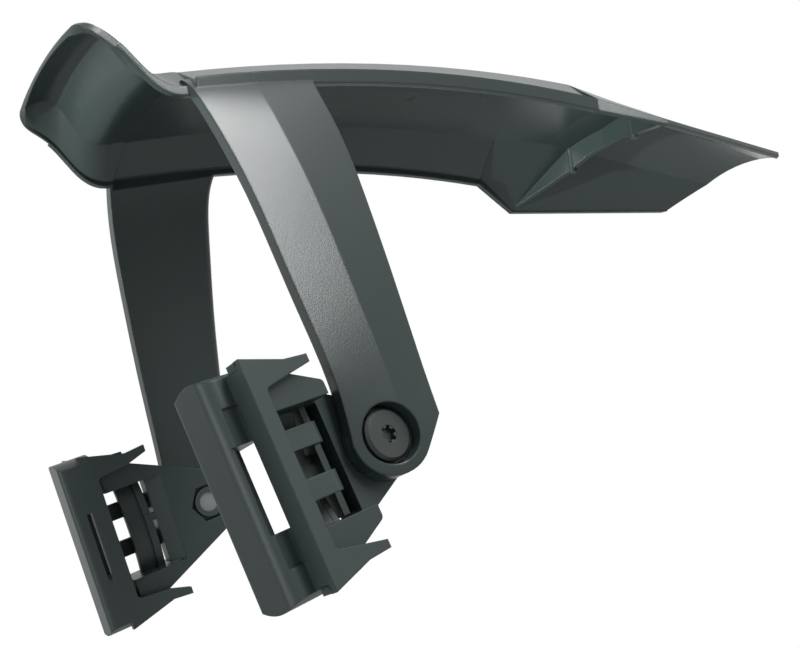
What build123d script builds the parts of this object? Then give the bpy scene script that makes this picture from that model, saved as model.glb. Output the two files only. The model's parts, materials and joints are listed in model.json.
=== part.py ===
from build123d import *
import math
import os

# Clip-on mudguard for the two legs of a bicycle fork.
# Millimetres, +Z up, +X towards the long nose of the blade, +Y to the left.
# The origin is on the mid plane, between the two bracket pivots.
# The left side is modelled, and the right side is its mirror image.

# Blade: half-widths run from the mid plane to the outside
wall = 2.0                     # thickness of the moulded blade
rim_half_width = 33.5          # outside of the straight side rims
rim_height = 4.2               # vertical band along the lower edge
rim_ledge = 1.6                # how far the band stands out from the facet
rim_arc_radius = 465.0         # side view curve of the lower edge
rim_arc_x = 114.0              # where that curve is highest
rim_arc_z = 115.0
crest_half_width = 21.0        # half-width of the top facet
crest_arc_radius = 520.0       # side view curve of the top facet's edges
crest_arc_x = 137.0
crest_arc_z = 131.3
crown = 1.6                    # rise of the top facet at the mid plane
blade_rear_x = -34.0           # where the blade starts to turn up
nose_start_x = 106.0           # where the sides start to spread

# Nose: its widest section and its front end
nose_wide_x = 128.0
nose_wide_half = 42.3
nose_wide_rim_z = 110.4
nose_wide_crest_half = 17.5
nose_end_x = 213.0
nose_end_half = 28.3
nose_end_rim_z = 118.4
nose_end_crest_half = 14.0
nose_end_crest_z = 127.2
nose_rim_height = 1.6
nose_setback = 10.0            # the rims end this far behind the tip
nose_tip_half = 13.6           # half-width of the straight tip edge

# Upturned rear end: side view points of its lower edge and its top facet
flare_rim = [(-38.2, 89.9), (-41.8, 90.7), (-45.2, 92.9), (-53.4, 100.4), (-64.1, 112.4)]
flare_crest = [(-39.0, 100.9), (-43.6, 100.4), (-47.8, 102.6), (-57.0, 110.9), (-67.5, 123.2)]
flare_band = 2.4
flare_taper = 2.0              # the rear end is this much narrower at each side
lip_corner_radius = 6.0
lip_bow = 2.6                  # the rear edge bows out by this much
lip_cut = 3.4                  # the trimmed rear edge lies this far inside the formed one
lip_side_cut = 0.4

# Stiffening rib under the nose
rib_thickness = 2.0
rib_end_half = 41.4
rib_end_z = 111.0
rib_post_x = 139.6
rib_post_half = 16.2
rib_middle_x = 142.0
rib_edge_z = 120.3             # free edge of the rib at its posts
rib_middle_z = 123.4
rib_post_diameter = 2.8
rib_post_proud = 1.1           # the posts end this far below the edge

# Arms: sections in a frame that follows the rim
arm_root_x = -17.8
arm_root_z = 94.6
arm_slope = 16.5               # slope of the rim where the arms leave it
arm_rear_thickness = 3.4
arm_front_thickness = 3.0
arm_end_radius = 9.8           # round lower end about the pivot
arm_front_corner = (16.2, 2.2)  # its front lower corner, in the bracket's frame
arm_corner_radius = 2.5

# Pivots and brackets
pivot_offset = 17.7            # from the rim out to the middle of each bracket at its pivot
leg_lean = 20.0                # the fork legs lean back by this angle
splay = 4.8                    # the brackets open downwards
toe_in = 6.6                   # the brackets close towards the nose
turn_gap = 0.2                 # between faces that turn on each other
running_gap = 0.08             # radial, between the screw and its holes
thread_gap = 0.04              # radial, between the screw and the nut
washer_gap = 0.04              # between the washer and the arm
seat_gap = 0.15                # between parts that seat in each other

# M6 screw, washer and locking nut
screw_diameter = 6.0
screw_end = 0.8                # the screw ends this far inside the nut
head_diameter = 12.6
head_height = 2.3
head_chamfer = 0.7
drive_diameter = 4.2
drive_depth = 1.5
washer_diameter = 13.6
washer_thickness = 0.8
counterbore_diameter = 14.4
arm_floor = 1.9                # left under the counterbore
nut_across_flats = 10.0
nut_height = 6.0
nut_collar_height = 1.7
nut_collar_diameter = 8.9
ring_diameter = 7.5            # nylon ring in the collar
ring_inset = 0.35              # from the collar's end
nut_recess = 0.4               # the nut ends this far inside the lug
lug_floor = 2.0                # between the nut and the arm

# Lug block: window frame and plate
frame_half_depth = 8.0         # across the bike
lug_end_radius = 9.5
frame_back = 28.4
frame_back_half = 21.5         # half-height of the frame where it meets the column
lug_line_slope = 0.45          # taper of the plate's edges
window_front = 11.8
window_half = 13.1
fin_front = 13.2               # the fins end here, over the plate
fin_tip_radius = 1.3
tongue_back = 24.5             # bowed tongue between the fins
tongue_front = 17.3
tongue_lip = 19.5              # its front strip is bent towards the fork leg
tongue_thickness = 1.8
tongue_bow = 2.6
nub_reach = 3.6                # the nub runs on from the tongue towards the plate
nub_width = 2.3
nub_height = 1.8               # its centre above the pivot

# Fork clip: column, cheeks and fingers
clip_half_depth = 10.3
cheek_thickness = 2.1
cheek_back = 33.5              # from the pivot to the rear edge
cheek_half = 25.7              # half-height at the rear edge
rail_front = 29.6
horn_root_half = 18.0
horn_root_radius = 1.2
# knee, upper and lower corner of the tip, corner under the knee, as (front, half-height)
outer_horn = [(-22.7, 22.9), (-16.3, 22.6), (-16.3, 20.7), (-22.3, 19.5)]
inner_horn = [(-20.0, 22.3), (-14.2, 22.9), (-14.2, 20.9), (-20.3, 19.0)]
column_back = 39.5
column_half = 25.6             # half-height at the top of its domed ends
column_inner_half = 23.4
column_outer_half = 24.1
column_side = 3.9              # outer side of the column
column_corner = 3.6
column_edge = 1.6
strap_half = 9.8               # strap passage through the column
strap_centre = -0.3
strap_skin = 1.8               # skin behind the strap
strap_step = 1.3               # the skin is this much thicker on the inner side
strap_step_side = -3.5
strap_mouth_side = 2.8
strap_slit_back = 35.8
strap_slit_front = 34.3
side_recess_half = 17.8
side_recess_back = 37.3
side_recess_depth = 0.8
finger_width = 4.9
finger_heights = (6.45, -4.85)  # centres of the two fingers above the pivot
finger_thickness = 1.8
finger_face = 5.4              # outer face of the fingers
finger_front = 15.7
finger_curl = 4.3
finger_turn = 110.0            # degrees

# Values that follow from the sizes above
pivot_half_spacing = rim_half_width + pivot_offset
screw_hole = screw_diameter + 2 * running_gap
nut_hole = screw_diameter + 2 * thread_gap
lug_inner = -frame_half_depth
nut_inner = lug_inner + nut_recess
nut_seat = nut_inner + nut_height
lug_outer = nut_seat + lug_floor
arm_inner = lug_outer + turn_gap
arm_seat = arm_inner + arm_floor
washer_seat = arm_seat + washer_gap
head_seat = washer_seat + washer_thickness
head_outer = head_seat + head_height

# One row for each arm section: distance below the rim, then the rear edge, the crease and
# the front edge, and how far the outer face stands out from the rim at each of the three
arm_sections = [
    (-6.0, -17.8, 0.2, 24.0, -3.9, -3.9, -4.5),
    (0.0, -17.6, 0.0, 17.9, 1.3, 1.6, 1.3),
    (12.0, -17.9, -1.8, 15.3, 7.1, 8.3, 7.5),
    (26.0, -17.8, -2.5, 13.6, 11.8, 13.1, 12.1),
    (45.0, -17.9, -3.1, 10.9, 16.1, 17.4, 16.6),
    (66.0, -17.9, -4.0, 8.2, 20.0, 21.2, 20.4),
    (84.0, -18.1, -4.4, 5.9, 22.6, 23.7, 23.4),
    (110.0, -18.8, -4.4, 3.0, 24.5, 25.1, 25.4),
]


def arc_height(x, top_x, top_z, radius):
    """Height of a circular side view curve at a given x."""
    return top_z - radius + math.sqrt(radius**2 - (x - top_x) ** 2)


def rim_z(x):
    return arc_height(x, rim_arc_x, rim_arc_z, rim_arc_radius)


def crest_z(x):
    return arc_height(x, crest_arc_x, crest_arc_z, crest_arc_radius)


def hood_face(half, crest_half, height, band, ledge, inset):
    """Closed cross-section of the blade, moved inwards by the inset."""
    facet = math.atan2(height - band, half - crest_half)
    rim = half - inset
    top = height - inset
    crest = crest_half - inset * math.tan(facet / 2)
    if ledge:
        ledge_end = half - ledge - inset / math.tan(facet / 2 + math.pi / 4)
        side = [(rim, -inset), (rim, band - inset), (ledge_end, band - inset), (crest, top)]
    else:
        side = [(rim, -inset), (rim, band - inset * math.tan(math.pi / 4 - facet / 2)), (crest, top)]
    other = [(-x, y) for x, y in reversed(side)]
    outline = Polyline(*side) + Polyline(*other)
    outline += ThreePointArc(side[-1], (0, top + crown), other[0])
    outline += Line(other[-1], side[0])
    return make_face(outline)


def hood(stations, inset, ruled=False):
    """Solid through the blade's sections.

    A station holds the side view points of the rim and the crest, and the sizes there.
    """
    faces = []
    for rim_point, crest_point, half, crest_half, band, ledge in stations:
        low = Vector(rim_point[0], 0, rim_point[1])
        rise = Vector(crest_point[0], 0, crest_point[1]) - low
        across = Plane(origin=low, x_dir=(0, 1, 0), z_dir=Vector(0, 1, 0).cross(rise))
        faces.append(across * hood_face(half, crest_half, rise.length, band, ledge, inset))
    return loft(faces, ruled=ruled)


def straight_stations():
    stations = []
    for share in (0.0, 0.25, 0.5, 0.75, 1.0):
        x = blade_rear_x + share * (nose_start_x - blade_rear_x)
        sizes = (rim_half_width, crest_half_width, rim_height, rim_ledge)
        stations.append(((x, rim_z(x)), (x, crest_z(x)), *sizes))
    return stations


def nose_stations():
    x = nose_start_x
    band = nose_rim_height
    return [
        ((x, rim_z(x)), (x, crest_z(x)), rim_half_width, crest_half_width, rim_height, 0),
        ((nose_wide_x, nose_wide_rim_z), (nose_wide_x, crest_z(nose_wide_x)),
         nose_wide_half, nose_wide_crest_half, band, 0),
        ((nose_end_x, nose_end_rim_z), (nose_end_x, nose_end_crest_z),
         nose_end_half, nose_end_crest_half, band, 0),
    ]


def flare_stations():
    x = blade_rear_x
    half = rim_half_width - rim_ledge
    stations = [((x, rim_z(x)), (x, crest_z(x)), half, crest_half_width, flare_band, 0)]
    length = x - flare_rim[-1][0]
    for rim_point, crest_point in zip(flare_rim, flare_crest):
        taper = flare_taper * (x - rim_point[0]) / length
        stations.append((rim_point, crest_point, half - taper, crest_half_width, flare_band, 0))
    return stations


def blade_volume(inset):
    """Whole blade as a closed body: rear end, straight part and nose."""
    body = hood(straight_stations(), inset)
    body += hood(nose_stations(), inset, ruled=True)
    body += hood(flare_stations(), inset)
    return body


def nose_outline():
    """Plan view of the blade, with its front end cut slanting back to the rims."""
    tip = nose_end_x - 1.0
    slant = nose_setback / (nose_end_half - nose_tip_half)
    far = 2 * nose_wide_half
    corner = tip - slant * (far - nose_tip_half)
    back = -far
    side = [(tip, nose_tip_half), (corner, far), (back, far)]
    points = [(x, -y) for x, y in reversed(side)] + side
    return extrude(make_face(Polyline(*points, close=True)), 2 * nose_end_x)


def lip_trim():
    """What is cut off round the bowed rear edge, square to the rear panel."""
    start = Vector(flare_rim[-2][0], 0, flare_rim[-2][1])
    end = Vector(flare_rim[-1][0], 0, flare_rim[-1][1])
    along = end - start
    length = along.length - lip_cut
    panel = Plane(origin=start, x_dir=along, z_dir=along.cross(Vector(0, 1, 0)))
    half = rim_half_width - rim_ledge - flare_taper - lip_side_cut
    width = 2 * rim_half_width
    corner = length - lip_bow
    edge = ThreePointArc((corner, half), (length, 0), (corner, -half))
    sides = Polyline((corner, -half), (-width, -half), (-width, half), (corner, half))
    keep = make_face(edge + sides)
    keep = fillet(keep.vertices().group_by(Axis.X)[-1], lip_corner_radius)
    zone = Pos(width, 0) * Rectangle(2 * width, 2 * width)
    return extrude(panel * (zone - keep), width, both=True)


def arm_frame():
    slope = math.radians(arm_slope)
    return Plane(
        origin=(arm_root_x, 0, arm_root_z),
        x_dir=(math.cos(slope), 0, math.sin(slope)),
        z_dir=(-math.sin(slope), 0, math.cos(slope)),
    )


def bracket_frame():
    """Frame of the left bracket: x to the nose, y outwards along the pivot, z up the leg."""
    lean = math.radians(leg_lean)
    toe = math.radians(toe_in)
    tilt = math.radians(splay)
    forward = Vector(math.cos(lean), 0, math.sin(lean))
    upward = Vector(-math.sin(lean), 0, math.cos(lean))
    outward = forward * (math.sin(toe) * math.cos(tilt)) + upward * math.sin(tilt)
    outward += Vector(0, math.cos(toe) * math.cos(tilt), 0)
    x_dir = outward.cross(upward)
    return Plane(origin=(0, pivot_half_spacing, 0), x_dir=x_dir, z_dir=x_dir.cross(outward))


def axis_cylinder(radius, inner, outer):
    """Cylinder about the pivot, in the bracket's frame."""
    return Pos(0, inner, 0) * Rot(-90, 0, 0) * Cylinder(
        radius, outer - inner, align=(Align.CENTER, Align.CENTER, Align.MIN))


def side_prism(sketch_face, inner, outer):
    """Outline drawn as (forward, up), extruded across the bracket."""
    plane = Plane(origin=(0, inner, 0), x_dir=(1, 0, 0), z_dir=(0, -1, 0))
    return extrude(plane * sketch_face, inner - outer)


def arm_end_outline():
    """Side view of the arm's lower end: round about the pivot, with a slanting front."""
    corner = Vector(*arm_front_corner)
    spread = math.acos(arm_end_radius / corner.length)
    bearing = math.atan2(corner.Y, corner.X) - spread
    touch = Vector(arm_end_radius * math.cos(bearing), arm_end_radius * math.sin(bearing))
    far = touch + 4 * (corner - touch)
    top = 2 * arm_root_z
    points = [(-top, top), (-top, 0), (0, 0), (touch.X, touch.Y), (far.X, far.Y), (far.X, top)]
    return make_face(Polyline(*points, close=True)) + Circle(arm_end_radius)


def arm_section(rear, crease, front, rear_out, crease_out, front_out):
    """Arm's cross-section: two outer facets that meet in a crease, and a flat inner face."""
    half = rim_half_width
    return make_face(Polyline(
        (rear, half + rear_out - arm_rear_thickness), (front, half + front_out - arm_front_thickness),
        (front, half + front_out), (crease, half + crease_out), (rear, half + rear_out), close=True))


def arm():
    """Left arm: blended sections, a round end and a counterbored boss."""
    frame = arm_frame()
    body = loft([frame.offset(-depth) * arm_section(*sizes) for depth, *sizes in arm_sections])
    place = bracket_frame()
    reach = pivot_half_spacing
    body = body & (place * side_prism(arm_end_outline(), -reach, reach))
    corner = place.from_local_coords(Vector(arm_front_corner[0], arm_seat, arm_front_corner[1]))
    body = fillet(body.edges().sort_by_distance(corner)[0], arm_corner_radius)
    body += place * axis_cylinder(arm_end_radius, arm_inner, arm_seat)
    body -= place * axis_cylinder(2 * arm_end_radius, arm_inner - 12, arm_inner)
    body -= place * axis_cylinder(counterbore_diameter / 2, arm_seat, reach)
    body -= place * axis_cylinder(screw_hole / 2, -reach, reach)
    return body


def rib():
    """Cross rib under the nose: bowed in plan, with an arched free edge and two posts."""
    half = rib_thickness / 2
    plan = []
    for shift in (-half, half):
        plan.append([
            (nose_wide_x + shift, rib_end_half), (rib_post_x + shift, rib_post_half),
            (rib_middle_x + shift, 0), (rib_post_x + shift, -rib_post_half),
            (nose_wide_x + shift, -rib_end_half)])
    top = nose_end_crest_z + rim_half_width
    sheet = extrude(make_face(Polyline(*plan[0], *reversed(plan[1]), close=True)), top)
    edge = Polyline((-rib_post_half, rib_edge_z), (-rib_end_half, rib_end_z), (-rib_end_half, top),
                    (rib_end_half, top), (rib_end_half, rib_end_z), (rib_post_half, rib_edge_z))
    edge += ThreePointArc((rib_post_half, rib_edge_z), (0, rib_middle_z), (-rib_post_half, rib_edge_z))
    front = Plane(origin=(0, 0, 0), x_dir=(0, 1, 0), z_dir=(1, 0, 0))
    body = sheet & extrude(front * make_face(edge), nose_end_x)
    for side in (-1, 1):
        post = Cylinder(rib_post_diameter / 2, rib_end_half, align=(Align.CENTER, Align.CENTER, Align.MIN))
        body += Pos(rib_post_x, side * rib_post_half, rib_edge_z - rib_post_proud) * post
    return body


def mudguard_body():
    outside = (blade_volume(0.0) & nose_outline()) - lip_trim()
    left = arm()
    arms = left + mirror(left, about=Plane.XZ)
    body = (outside + arms) - blade_volume(wall)
    return body + (rib() & outside)


def hexagon_prism(across_flats, inner, outer):
    sketch = RegularPolygon(across_flats / 2, 6, major_radius=False)
    return side_prism(sketch, inner, outer)


def lug_plate_outline():
    """Plate from the frame's back to a round end about the pivot."""
    back = -frame_back
    span = lug_end_radius / math.sqrt(1 + lug_line_slope**2)
    touch_x = lug_line_slope * span
    top = lug_end_radius * math.sqrt(1 + lug_line_slope**2) + lug_line_slope * frame_back
    knee_x = back + (top - frame_back_half) / lug_line_slope
    points = [(back, frame_back_half), (knee_x, frame_back_half), (touch_x, span),
              (touch_x, -span), (knee_x, -frame_back_half), (back, -frame_back_half)]
    return make_face(Polyline(*points, close=True)) + Circle(lug_end_radius)


def bracket_lug():
    """Lug of the left bracket, in the bracket's frame: a plate with two deep fins behind it."""
    plate = side_prism(lug_plate_outline(), lug_inner, lug_outer)
    stop = frame_back + fin_front
    keep = Pos(-fin_front - stop / 2, 0) * Rectangle(stop, 80)
    fins = side_prism(lug_plate_outline() & keep, lug_outer, frame_half_depth)
    tips = fins.edges().filter_by(Axis.Y).group_by(Axis.X)[-1]
    body = plate + fillet(tips, fin_tip_radius)
    length = frame_back - window_front + 5
    hole = Pos(-window_front - length / 2, 0) * Rectangle(length, 2 * window_half)
    body -= side_prism(hole, lug_inner - 1, frame_half_depth + 1)
    body += tongue()
    body -= hexagon_prism(nut_across_flats + 2 * seat_gap, lug_inner - 1, nut_seat)
    body -= axis_cylinder(screw_hole / 2, lug_inner - 5, lug_outer + 5)
    return body


def tongue_strip(back, front, level):
    """Piece of the tongue: a bowed strip with its ends in the two fins."""
    end = window_half + 0.5
    inner = level - tongue_thickness
    outer_line = ThreePointArc((level, -end), (level - tongue_bow, 0), (level, end))
    inner_line = ThreePointArc((inner, -end), (inner - tongue_bow, 0), (inner, end))
    ends = Line((level, end), (inner, end)) + Line((inner, -end), (level, -end))
    across = Plane(origin=(-back, 0, 0), x_dir=(0, 1, 0), z_dir=(1, 0, 0))
    return extrude(across * make_face(Curve() + [outer_line, inner_line, ends]), back - front)


def tongue():
    """Springy tongue between the fins, bowed to the inside of the fork, with a lip and a nub."""
    lip_level = -tongue_thickness / 2
    body = tongue_strip(tongue_back, tongue_lip, 0.0)
    body += tongue_strip(tongue_lip, tongue_front, lip_level)
    nub_length = nub_reach + tongue_lip - tongue_front
    level = lip_level - tongue_bow - tongue_thickness / 2
    nub = Pos(-tongue_lip + nub_length / 2, level, nub_height) * Box(nub_length, tongue_thickness, nub_width)
    return body + nub


def cheek(horn, inner_face):
    """Side plate of the clip, with a horn at its top and at its bottom."""
    root = (-rail_front, horn_root_half)
    upper = [(-cheek_back, cheek_half), *horn, root]
    lower = [(x, -y) for x, y in reversed(upper)]
    outline = make_face(Polyline(*upper, *lower, close=True))
    corners = outline.vertices().filter_by(lambda v: abs(v.X - root[0]) + abs(abs(v.Y) - root[1]) < 0.01)
    outline = fillet(corners, horn_root_radius)
    return side_prism(outline, inner_face, inner_face + cheek_thickness)


def block(back, front, inner, outer, low, high):
    """Box in the bracket's frame, from its six faces."""
    size = Box(back - front, outer - inner, high - low, align=(Align.MIN, Align.MIN, Align.MIN))
    return Pos(-back, inner, low) * size


def column():
    """Column behind the cheeks, with domed ends and the strap passage through it."""
    inner = -clip_half_depth
    top_side = (inner + column_side) / 2
    points = [(inner, column_inner_half), (column_side, column_outer_half)]
    outline = ThreePointArc(points[0], (top_side, column_half), points[1])
    outline += Line(points[1], (column_side, -column_outer_half))
    low_end = (inner, -column_inner_half)
    outline += ThreePointArc((column_side, -column_outer_half), (top_side, -column_half), low_end)
    outline += Line(low_end, points[0])
    across = Plane(origin=(-column_back, 0, 0), x_dir=(0, 1, 0), z_dir=(1, 0, 0))
    body = extrude(across * make_face(outline), column_back - rail_front)
    upright = body.edges().filter_by(Axis.Z).group_by(Axis.X)[0].sort_by(Axis.Y)
    body = fillet(upright[-1], column_corner)
    upright = body.edges().filter_by(Axis.Z).group_by(Axis.X)[0].sort_by(Axis.Y)
    body = fillet(upright[0], column_edge)
    low = strap_centre - strap_half
    high = strap_centre + strap_half
    skin = column_back - strap_skin
    wall_face = cheek_thickness - clip_half_depth
    body -= block(skin, rail_front - 1, strap_step_side, column_side + 1, low, high)
    body -= block(skin - strap_step, rail_front - 1, wall_face, strap_step_side, low, high)
    body -= block(column_back + 1, cheek_back, strap_mouth_side, column_side + 1, low, high)
    body -= block(strap_slit_back, strap_slit_front, inner - 1, wall_face, low, high)
    recess = column_side - side_recess_depth
    half = side_recess_half
    return body - block(side_recess_back, cheek_back, recess, column_side + 1, -half, half)


def finger(height):
    """Curled finger of the clip, seen from above: a plate that turns inwards at its front."""
    root = -rail_front - 1
    outer = finger_face
    bend = -finger_front - finger_curl
    path = Line((root, outer - finger_thickness / 2), (bend, outer - finger_thickness / 2))
    radius = finger_curl - finger_thickness / 2
    path += JernArc(start=path @ 1, tangent=path % 1, radius=radius, arc_size=-finger_turn)
    section = Plane(origin=path @ 0, z_dir=path % 0) * Rectangle(finger_width, finger_thickness)
    body = sweep(section, path=path)
    return Pos(0, 0, height) * body


def fork_clip():
    """Clip of the left bracket, in the bracket's frame."""
    body = column()
    body += cheek(outer_horn, clip_half_depth - cheek_thickness)
    body += cheek(inner_horn, -clip_half_depth)
    body += block(cheek_back, rail_front, column_side, clip_half_depth, -column_outer_half, column_outer_half)
    for height in finger_heights:
        body += finger(height)
    return body


def pivot_screw():
    body = axis_cylinder(head_diameter / 2, head_seat, head_outer)
    rim = body.edges().filter_by(GeomType.CIRCLE).sort_by(Axis.Y)[-1]
    body = chamfer(rim, head_chamfer)
    body += axis_cylinder(screw_diameter / 2, nut_inner + screw_end, head_seat)
    return body - axis_cylinder(drive_diameter / 2, head_outer - drive_depth, head_outer + 1)


def screw_washer():
    ring = axis_cylinder(washer_diameter / 2, washer_seat, head_seat)
    return ring - axis_cylinder(screw_hole / 2, washer_seat - 1, head_seat + 1)


def lock_nut():
    body = hexagon_prism(nut_across_flats, nut_inner + nut_collar_height, nut_seat)
    body += axis_cylinder(nut_collar_diameter / 2, nut_inner, nut_seat)
    body -= axis_cylinder(ring_diameter / 2, nut_inner + ring_inset, nut_inner + nut_collar_height)
    return body - axis_cylinder(nut_hole / 2, nut_inner - 1, nut_seat + 1)


def nut_ring():
    """Nylon ring held in the nut's collar."""
    inner = nut_inner + ring_inset + thread_gap
    outer = nut_inner + nut_collar_height - thread_gap
    ring = axis_cylinder(ring_diameter / 2 - thread_gap, inner, outer)
    return ring - axis_cylinder(nut_hole / 2, inner - 1, outer + 1)


def make_parts():
    place = bracket_frame()
    parts = {"mudguard_body": mudguard_body()}
    pieces = {
        "bracket_lug": bracket_lug(),
        "fork_clip": fork_clip(),
        "pivot_screw": pivot_screw(),
        "screw_washer": screw_washer(),
        "lock_nut": lock_nut(),
        "nut_ring": nut_ring(),
    }
    for name, piece in pieces.items():
        left = place * piece
        parts[name + "_left"] = left
        parts[name + "_right"] = mirror(left, about=Plane.XZ)
    return parts


os.makedirs("parts", exist_ok=True)
for name, shape in make_parts().items():
    export_step(shape, f"parts/{name}.step")
    print(name, len(shape.solids()), round(shape.volume))
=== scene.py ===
import bpy
import bmesh
import json
import math
from mathutils import Matrix, Vector


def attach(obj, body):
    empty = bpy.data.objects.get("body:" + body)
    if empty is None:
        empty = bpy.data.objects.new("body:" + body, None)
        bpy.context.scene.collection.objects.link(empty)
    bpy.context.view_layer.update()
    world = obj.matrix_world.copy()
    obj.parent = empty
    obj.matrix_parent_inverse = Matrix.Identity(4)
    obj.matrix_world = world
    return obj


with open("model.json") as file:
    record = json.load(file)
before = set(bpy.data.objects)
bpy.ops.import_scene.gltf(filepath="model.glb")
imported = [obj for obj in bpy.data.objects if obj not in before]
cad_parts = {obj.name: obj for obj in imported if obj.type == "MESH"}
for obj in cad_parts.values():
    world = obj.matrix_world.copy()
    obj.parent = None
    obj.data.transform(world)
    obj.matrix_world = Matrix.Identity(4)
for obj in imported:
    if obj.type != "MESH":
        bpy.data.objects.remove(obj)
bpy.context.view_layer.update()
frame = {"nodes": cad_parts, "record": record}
record = frame["record"]
print("frame loaded")

sides = ("left", "right")


def pivotOf(side):
    # place and direction of a bracket's pivot, pointing away from the wheel
    joint = next(item for item in record["behaviour"]["joints"] if item["name"] == "pivot_" + side)
    axis = Vector(joint["axis"])
    outwards = 1 if side == "left" else -1
    if axis.y * outwards < 0:
        axis = -axis
    return Vector(joint["pos_m"]), axis


# camera: low, behind the right bracket, looking up along the blade

camera = {"place": (-0.13137, -0.2610, -0.0421), "right": (0.83955, -0.53777, -0.07716),
          "ahead": (0.53676, 0.79911, 0.27077), "lens": 48.6, "sensor": 36, "near": 0.01}


def makeCamera():
    right = Vector(camera["right"]).normalized()
    back = -Vector(camera["ahead"]).normalized()
    up = back.cross(right).normalized()
    turn = Matrix((right, up, back)).transposed().to_4x4()
    data = bpy.data.cameras.new("camera")
    data.lens = camera["lens"]
    data.sensor_width = camera["sensor"]
    data.clip_start = camera["near"]
    obj = bpy.data.objects.new("camera", data)
    obj.matrix_world = Matrix.Translation(camera["place"]) @ turn
    bpy.context.collection.objects.link(obj)
    bpy.context.scene.camera = obj


makeCamera()
print("camera placed")


# shared effects

skinLook = {"cloudScale": 26, "cloudDetail": 1, "toneFrom": 0.1, "toneTo": 0.9, "grainScale": 2600,
            "grainDetail": 2, "grainHeight": 0.00004, "glossSwing": 0.06, "edgeSamples": 4}


def newGroup(name, inputs, outputs):
    tree = bpy.data.node_groups.new(name, "ShaderNodeTree")
    for label, kind, value in inputs:
        socket = tree.interface.new_socket(label, in_out="INPUT", socket_type=kind)
        if value is not None:
            socket.default_value = value
    for label, kind in outputs:
        tree.interface.new_socket(label, in_out="OUTPUT", socket_type=kind)
    return tree, tree.nodes.new("NodeGroupInput"), tree.nodes.new("NodeGroupOutput")


def makeMouldedSkin():
    # fine spark texture of a moulding, with slow changes of tone and gloss
    tree, inside, outside = newGroup(
        "mouldedSkin",
        [("Colour", "NodeSocketColor", (0.1, 0.1, 0.1, 1)), ("Roughness", "NodeSocketFloat", 0.4),
         ("Tone", "NodeSocketFloat", 0.1), ("Grain", "NodeSocketFloat", 1.0),
         ("Edge", "NodeSocketFloat", 0.0005)],
        [("Colour", "NodeSocketColor"), ("Roughness", "NodeSocketFloat"), ("Normal", "NodeSocketVector")])
    nodes, link = tree.nodes, tree.links.new
    coord = nodes.new("ShaderNodeTexCoord")
    cloud = nodes.new("ShaderNodeTexNoise")
    cloud.inputs["Scale"].default_value = skinLook["cloudScale"]
    cloud.inputs["Detail"].default_value = skinLook["cloudDetail"]
    grain = nodes.new("ShaderNodeTexNoise")
    grain.inputs["Scale"].default_value = skinLook["grainScale"]
    grain.inputs["Detail"].default_value = skinLook["grainDetail"]
    link(coord.outputs["Object"], cloud.inputs["Vector"])
    link(coord.outputs["Object"], grain.inputs["Vector"])
    shade = nodes.new("ShaderNodeMapRange")
    shade.clamp = False
    link(cloud.outputs["Fac"], shade.inputs["Value"])
    shade.inputs["From Min"].default_value = skinLook["toneFrom"]
    shade.inputs["From Max"].default_value = skinLook["toneTo"]
    shade.inputs["To Min"].default_value = -0.5
    shade.inputs["To Max"].default_value = 0.5
    amount = nodes.new("ShaderNodeMath")
    amount.operation = "MULTIPLY_ADD"
    link(shade.outputs["Result"], amount.inputs[0])
    link(inside.outputs["Tone"], amount.inputs[1])
    amount.inputs[2].default_value = 1.0
    tint = nodes.new("ShaderNodeVectorMath")
    tint.operation = "SCALE"
    link(inside.outputs["Colour"], tint.inputs[0])
    link(amount.outputs[0], tint.inputs["Scale"])
    link(tint.outputs[0], outside.inputs["Colour"])
    gloss = nodes.new("ShaderNodeMath")
    gloss.operation = "MULTIPLY_ADD"
    link(shade.outputs["Result"], gloss.inputs[0])
    gloss.inputs[1].default_value = skinLook["glossSwing"]
    link(inside.outputs["Roughness"], gloss.inputs[2])
    link(gloss.outputs[0], outside.inputs["Roughness"])
    soft = nodes.new("ShaderNodeBevel")
    soft.samples = skinLook["edgeSamples"]
    link(inside.outputs["Edge"], soft.inputs["Radius"])
    bump = nodes.new("ShaderNodeBump")
    bump.inputs["Distance"].default_value = skinLook["grainHeight"]
    link(inside.outputs["Grain"], bump.inputs["Strength"])
    link(grain.outputs["Fac"], bump.inputs["Height"])
    link(soft.outputs["Normal"], bump.inputs["Normal"])
    link(bump.outputs["Normal"], outside.inputs["Normal"])
    return tree


mouldedSkin = makeMouldedSkin()


def newMaterial(name):
    material = bpy.data.materials.new(name)
    material.use_nodes = True
    tree = material.node_tree
    return material, tree.nodes, tree.links.new, tree.nodes["Principled BSDF"]


def makePlastic(name, look):
    material, nodes, link, shader = newMaterial(name)
    skin = nodes.new("ShaderNodeGroup")
    skin.node_tree = mouldedSkin
    skin.inputs["Colour"].default_value = (*look["colour"], 1)
    skin.inputs["Roughness"].default_value = look["roughness"]
    skin.inputs["Tone"].default_value = look["tone"]
    skin.inputs["Grain"].default_value = look["grain"]
    skin.inputs["Edge"].default_value = look["edge"]
    link(skin.outputs["Colour"], shader.inputs["Base Color"])
    link(skin.outputs["Roughness"], shader.inputs["Roughness"])
    link(skin.outputs["Normal"], shader.inputs["Normal"])
    shader.inputs["Specular IOR Level"].default_value = look["specular"]
    return material


def ringHeight(nodes, link, mark):
    # raised round mark left by the mould, as a height and a mask
    coord = nodes.new("ShaderNodeTexCoord")
    away = nodes.new("ShaderNodeVectorMath")
    away.operation = "DISTANCE"
    link(coord.outputs["Object"], away.inputs[0])
    away.inputs[1].default_value = mark["place"]
    step = nodes.new("ShaderNodeMapRange")
    step.interpolation_type = "SMOOTHSTEP"
    step.inputs["From Min"].default_value = mark["radius"] - mark["edge"]
    step.inputs["From Max"].default_value = mark["radius"]
    step.inputs["To Min"].default_value = 1.0
    step.inputs["To Max"].default_value = 0.0
    link(away.outputs["Value"], step.inputs["Value"])
    return step.outputs["Result"]


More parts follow.
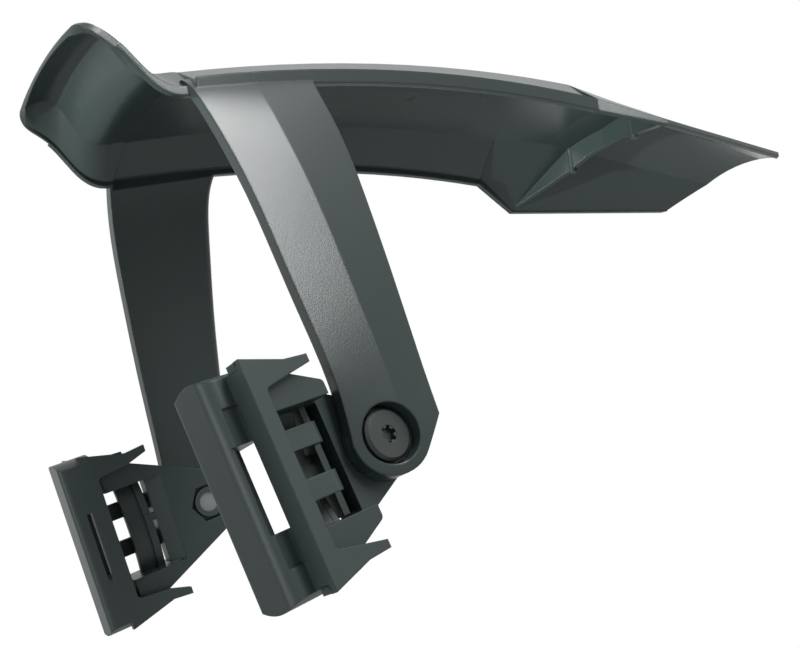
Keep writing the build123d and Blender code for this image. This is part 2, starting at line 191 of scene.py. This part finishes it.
def addMark(material, mark):
    # the mark's step goes into the normal after the skin's own
    nodes, link = material.node_tree.nodes, material.node_tree.links.new
    shader = nodes["Principled BSDF"]
    before = shader.inputs["Normal"].links[0].from_socket
    bump = nodes.new("ShaderNodeBump")
    bump.inputs["Distance"].default_value = mark["height"]
    link(ringHeight(nodes, link, mark), bump.inputs["Height"])
    link(before, bump.inputs["Normal"])
    link(bump.outputs["Normal"], shader.inputs["Normal"])


steelSkin = {"cloudScale": 320, "cloudDetail": 4, "darkFrom": 0.3, "lightFrom": 0.75, "darkShare": 0.75,
             "bareFade": 0.001, "smoother": 0.06, "rougher": 0.08, "edge": 0.0002, "edgeSamples": 4,
             "reliefHeight": 0.00002, "relief": 0.6}


def makeSteel(name, look):
    # cloudy plating: black on the outside, worn to bare metal at the screw's inner end
    material, nodes, link, shader = newMaterial(name)
    coord = nodes.new("ShaderNodeTexCoord")
    cloud = nodes.new("ShaderNodeTexNoise")
    cloud.inputs["Scale"].default_value = steelSkin["cloudScale"]
    cloud.inputs["Detail"].default_value = steelSkin["cloudDetail"]
    link(coord.outputs["Object"], cloud.inputs["Vector"])
    tone = nodes.new("ShaderNodeValToRGB")
    dark, light = tone.color_ramp.elements
    dark.position = steelSkin["darkFrom"]
    light.position = steelSkin["lightFrom"]
    dark.color = (*[steelSkin["darkShare"] * part for part in look["colour"]], 1)
    light.color = (*look["colour"], 1)
    link(cloud.outputs["Fac"], tone.inputs["Fac"])
    apart = nodes.new("ShaderNodeSeparateXYZ")
    link(coord.outputs["Object"], apart.inputs[0])
    out = nodes.new("ShaderNodeMath")
    out.operation = "ABSOLUTE"
    link(apart.outputs["Y"], out.inputs[0])
    bare = nodes.new("ShaderNodeMapRange")
    bare.inputs["From Min"].default_value = look["bareTo"] - steelSkin["bareFade"]
    bare.inputs["From Max"].default_value = look["bareTo"]
    bare.inputs["To Min"].default_value = 1.0
    bare.inputs["To Max"].default_value = 0.0
    link(out.outputs[0], bare.inputs["Value"])
    mix = nodes.new("ShaderNodeMix")
    mix.data_type = "RGBA"
    link(bare.outputs["Result"], mix.inputs["Factor"])
    link(tone.outputs["Color"], mix.inputs["A"])
    mix.inputs["B"].default_value = (*look["bareColour"], 1)
    link(mix.outputs["Result"], shader.inputs["Base Color"])
    rough = nodes.new("ShaderNodeMapRange")
    rough.inputs["To Min"].default_value = look["roughness"] - steelSkin["smoother"]
    rough.inputs["To Max"].default_value = look["roughness"] + steelSkin["rougher"]
    link(cloud.outputs["Fac"], rough.inputs["Value"])
    link(rough.outputs["Result"], shader.inputs["Roughness"])
    soft = nodes.new("ShaderNodeBevel")
    soft.samples = steelSkin["edgeSamples"]
    soft.inputs["Radius"].default_value = steelSkin["edge"]
    bump = nodes.new("ShaderNodeBump")
    bump.inputs["Distance"].default_value = steelSkin["reliefHeight"]
    bump.inputs["Strength"].default_value = steelSkin["relief"]
    link(cloud.outputs["Fac"], bump.inputs["Height"])
    link(soft.outputs["Normal"], bump.inputs["Normal"])
    link(bump.outputs["Normal"], shader.inputs["Normal"])
    shader.inputs["Metallic"].default_value = look["metallic"]
    return material


bladeLook = {"colour": (0.018, 0.028, 0.027), "roughness": 0.28, "tone": 0.12, "grain": 0.6, "edge": 0.0007,
             "specular": 0.32}
lugLook = {"colour": (0.022, 0.033, 0.032), "roughness": 0.40, "tone": 0.12, "grain": 0.7, "edge": 0.0004,
           "specular": 0.3}
clipLook = {"colour": (0.028, 0.040, 0.039), "roughness": 0.40, "tone": 0.12, "grain": 0.7, "edge": 0.0005,
            "specular": 0.3}
nylonLook = {"colour": (0.10, 0.11, 0.11), "roughness": 0.45, "tone": 0.06, "grain": 0.4, "edge": 0.0001,
             "specular": 0.5}
screwLook = {"colour": (0.014, 0.020, 0.019), "roughness": 0.5, "metallic": 0.1, "bareTo": 0.047,
             "bareColour": (0.15, 0.17, 0.17)}
nutLook = {"colour": (0.026, 0.036, 0.035), "roughness": 0.45, "metallic": 0.15, "bareTo": 0.0,
           "bareColour": (0.15, 0.17, 0.17)}
gateMark = {"place": (0.0556, 0.0, 0.1184), "radius": 0.0063, "edge": 0.0007, "height": 0.0004}

bladePlastic = makePlastic("bladePlastic", bladeLook)
addMark(bladePlastic, gateMark)
lugPlastic = makePlastic("lugPlastic", lugLook)
clipPlastic = makePlastic("clipPlastic", clipLook)
ringNylon = makePlastic("ringNylon", nylonLook)
blackScrew = makeSteel("blackScrew", screwLook)
blackNut = makeSteel("blackNut", nutLook)

finishes = {"mudguard_body": bladePlastic, "bracket_lug": lugPlastic, "fork_clip": clipPlastic,
            "pivot_screw": blackScrew, "screw_washer": blackNut, "lock_nut": blackNut, "nut_ring": ringNylon}

for nodeName, obj in frame["nodes"].items():
    finish = finishes[nodeName.removesuffix("_left").removesuffix("_right")]
    for spot in obj.material_slots:
        spot.material = finish
print("finishes on", len(frame["nodes"]), "nodes")


# star drive: six lobes round the wall of the socket in each screw's head

driveLook = {"wallRadius": 0.00215, "lobeRadius": 0.00062, "lobes": 6, "top": 0.00552, "depth": 0.00135,
             "segments": 20, "taper": 1.15}


def makeDrive(side):
    place, outwards = pivotOf(side)
    turn = outwards.to_track_quat("Z", "Y").to_matrix().to_4x4()
    bm = bmesh.new()
    middle = driveLook["top"] - driveLook["depth"] / 2
    for index in range(driveLook["lobes"]):
        angle = 2 * math.pi * index / driveLook["lobes"]
        spot = Vector((math.cos(angle), math.sin(angle), 0)) * driveLook["wallRadius"]
        made = bmesh.ops.create_cone(bm, cap_ends=True, segments=driveLook["segments"],
                                     radius1=driveLook["lobeRadius"] * driveLook["taper"],
                                     radius2=driveLook["lobeRadius"], depth=driveLook["depth"])
        bmesh.ops.translate(bm, verts=made["verts"], vec=spot + Vector((0, 0, middle)))
    bmesh.ops.transform(bm, matrix=Matrix.Translation(place) @ turn, verts=bm.verts)
    mesh = bpy.data.meshes.new("starDrive_" + side)
    bm.to_mesh(mesh)
    bm.free()
    obj = bpy.data.objects.new("starDrive_" + side, mesh)
    bpy.context.collection.objects.link(obj)
    mesh.materials.append(blackNut)
    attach(obj, bracketBodies[side])


bracketBodies = {"left": "bracket_left", "right": "bracket_right"}
for side in sides:
    makeDrive(side)
print("star drives made")


# small forms of the mouldings, in each bracket's own directions: ahead, outwards and up

leanDegrees = 20.0
webLook = {"low": -0.0127, "high": 0.0133,
           "section": ((-0.0162, -0.0005), (-0.0144, -0.0005), (-0.0116, -0.0055), (-0.0116, -0.0078),
                       (-0.0162, -0.0053))}
railEndLook = {"low": 0.0052, "high": 0.0090,
               "section": ((-0.0335, 0.0236), (-0.0335, 0.0256), (-0.0305, 0.02485), (-0.0305, 0.0236))}


def bracketFrame(side):
    # the bracket's place and directions, mirrored on the right
    place, outwards = pivotOf(side)
    hand = 1 if side == "left" else -1
    lean = math.radians(leanDegrees)
    ahead = hand * outwards.cross(Vector((-math.sin(lean), 0, math.cos(lean)))).normalized()
    up = hand * ahead.cross(outwards)
    turn = Matrix((ahead, outwards, up)).transposed().to_4x4()
    return Matrix.Translation(place) @ turn


def addPrism(bm, rings):
    # closed prism between two rings of points
    lower, upper = [[bm.verts.new(point) for point in ring] for ring in rings]
    for first in range(len(lower)):
        second = (first + 1) % len(lower)
        bm.faces.new((lower[first], lower[second], upper[second], upper[first]))
    bm.faces.new(lower)
    bm.faces.new(upper)


def finishMoulding(bm, name, side, material):
    bmesh.ops.transform(bm, matrix=bracketFrame(side), verts=bm.verts)
    bmesh.ops.recalc_face_normals(bm, faces=bm.faces)
    mesh = bpy.data.meshes.new(name + "_" + side)
    bm.to_mesh(mesh)
    bm.free()
    obj = bpy.data.objects.new(name + "_" + side, mesh)
    bpy.context.collection.objects.link(obj)
    mesh.materials.append(material)
    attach(obj, bracketBodies[side])


def makeWeb(side):
    # slanted web at the front of the lug's window, behind the pivot
    bm = bmesh.new()
    heights = (webLook["low"], webLook["high"])
    addPrism(bm, [[(x, y, height) for x, y in webLook["section"]] for height in heights])
    finishMoulding(bm, "windowWeb", side, lugPlastic)


def makeRailEnds(side):
    # the clip's outer rail runs on to the corners of its cheek
    bm = bmesh.new()
    depths = (railEndLook["low"], railEndLook["high"])
    for way in (1, -1):
        addPrism(bm, [[(x, depth, way * z) for x, z in railEndLook["section"]] for depth in depths])
    finishMoulding(bm, "railEnds", side, clipPlastic)


for side in sides:
    makeWeb(side)
    makeRailEnds(side)
print("window webs and rail ends made")


# floor, lights and background

studio = {"floorDepth": -0.45, "floorSize": 3.0, "floorColour": (0.78, 0.78, 0.78), "floorRoughness": 0.8,
          "worldLevel": 0.32, "white": (1, 1, 1, 1), "aim": (0.03, 0, 0.05)}
lamps = {"key": {"place": (0.12, -0.70, 0.98), "width": 0.2, "height": 1.2, "power": 20},
         "side": {"place": (-1.1, -0.5, 0.3), "width": 0.6, "height": 0.6, "power": 1.2},
         "low": {"place": (-1.1, -0.15, -0.38), "width": 0.5, "height": 0.5, "power": 6}}
ribLamp = {"place": (-0.9, 0.0, -0.12), "aim": (0.138, 0.0, 0.119), "cone": 7.0, "size": 0.02, "power": 95}


def makeFloor():
    mesh = bpy.data.meshes.new("floor")
    bm = bmesh.new()
    bmesh.ops.create_grid(bm, x_segments=1, y_segments=1, size=studio["floorSize"])
    bmesh.ops.translate(bm, verts=bm.verts, vec=(0, 0, studio["floorDepth"]))
    bm.to_mesh(mesh)
    bm.free()
    floor = bpy.data.objects.new("floor", mesh)
    bpy.context.collection.objects.link(floor)
    material, _, _, shader = newMaterial("floorPaint")
    shader.inputs["Base Color"].default_value = (*studio["floorColour"], 1)
    shader.inputs["Roughness"].default_value = studio["floorRoughness"]
    mesh.materials.append(material)


def makeLamp(name, values):
    data = bpy.data.lights.new(name, "AREA")
    data.shape = "RECTANGLE"
    data.size = values["width"]
    data.size_y = values["height"]
    data.energy = values["power"]
    obj = bpy.data.objects.new(name, data)
    obj.location = values["place"]
    aim = Vector(studio["aim"]) - Vector(values["place"])
    obj.rotation_euler = aim.to_track_quat("-Z", "Y").to_euler()
    bpy.context.collection.objects.link(obj)


def makeRibLamp(values):
    # narrow soft fill from behind and below, on the rib under the nose
    data = bpy.data.lights.new("ribLamp", "SPOT")
    data.energy = values["power"]
    data.spot_size = math.radians(values["cone"])
    data.spot_blend = 1.0
    data.shadow_soft_size = values["size"]
    obj = bpy.data.objects.new("ribLamp", data)
    obj.location = values["place"]
    aim = Vector(values["aim"]) - Vector(values["place"])
    obj.rotation_euler = aim.to_track_quat("-Z", "Y").to_euler()
    bpy.context.collection.objects.link(obj)


def makeWorld():
    # dim even light on the object, and plain white for what is seen directly, mirrored or through it
    world = bpy.data.worlds.new("studio")
    world.use_nodes = True
    bpy.context.scene.world = world
    nodes, link = world.node_tree.nodes, world.node_tree.links.new
    glow = nodes["Background"]
    glow.inputs["Color"].default_value = studio["white"]
    glow.inputs["Strength"].default_value = studio["worldLevel"]
    plain = nodes.new("ShaderNodeBackground")
    plain.inputs["Color"].default_value = studio["white"]
    plain.inputs["Strength"].default_value = 1.0
    path = nodes.new("ShaderNodeLightPath")
    seen = nodes.new("ShaderNodeMath")
    seen.operation = "MAXIMUM"
    link(path.outputs["Is Camera Ray"], seen.inputs[0])
    link(path.outputs["Is Glossy Ray"], seen.inputs[1])
    through = nodes.new("ShaderNodeMath")
    through.operation = "MAXIMUM"
    link(seen.outputs[0], through.inputs[0])
    link(path.outputs["Is Transmission Ray"], through.inputs[1])
    mix = nodes.new("ShaderNodeMixShader")
    link(through.outputs[0], mix.inputs["Fac"])
    link(glow.outputs[0], mix.inputs[1])
    link(plain.outputs[0], mix.inputs[2])
    link(mix.outputs[0], nodes["World Output"].inputs["Surface"])


makeFloor()
for lampName, lampValues in lamps.items():
    makeLamp(lampName, lampValues)
makeRibLamp(ribLamp)
makeWorld()
bpy.context.scene.view_settings.view_transform = "Standard"
print("studio set")

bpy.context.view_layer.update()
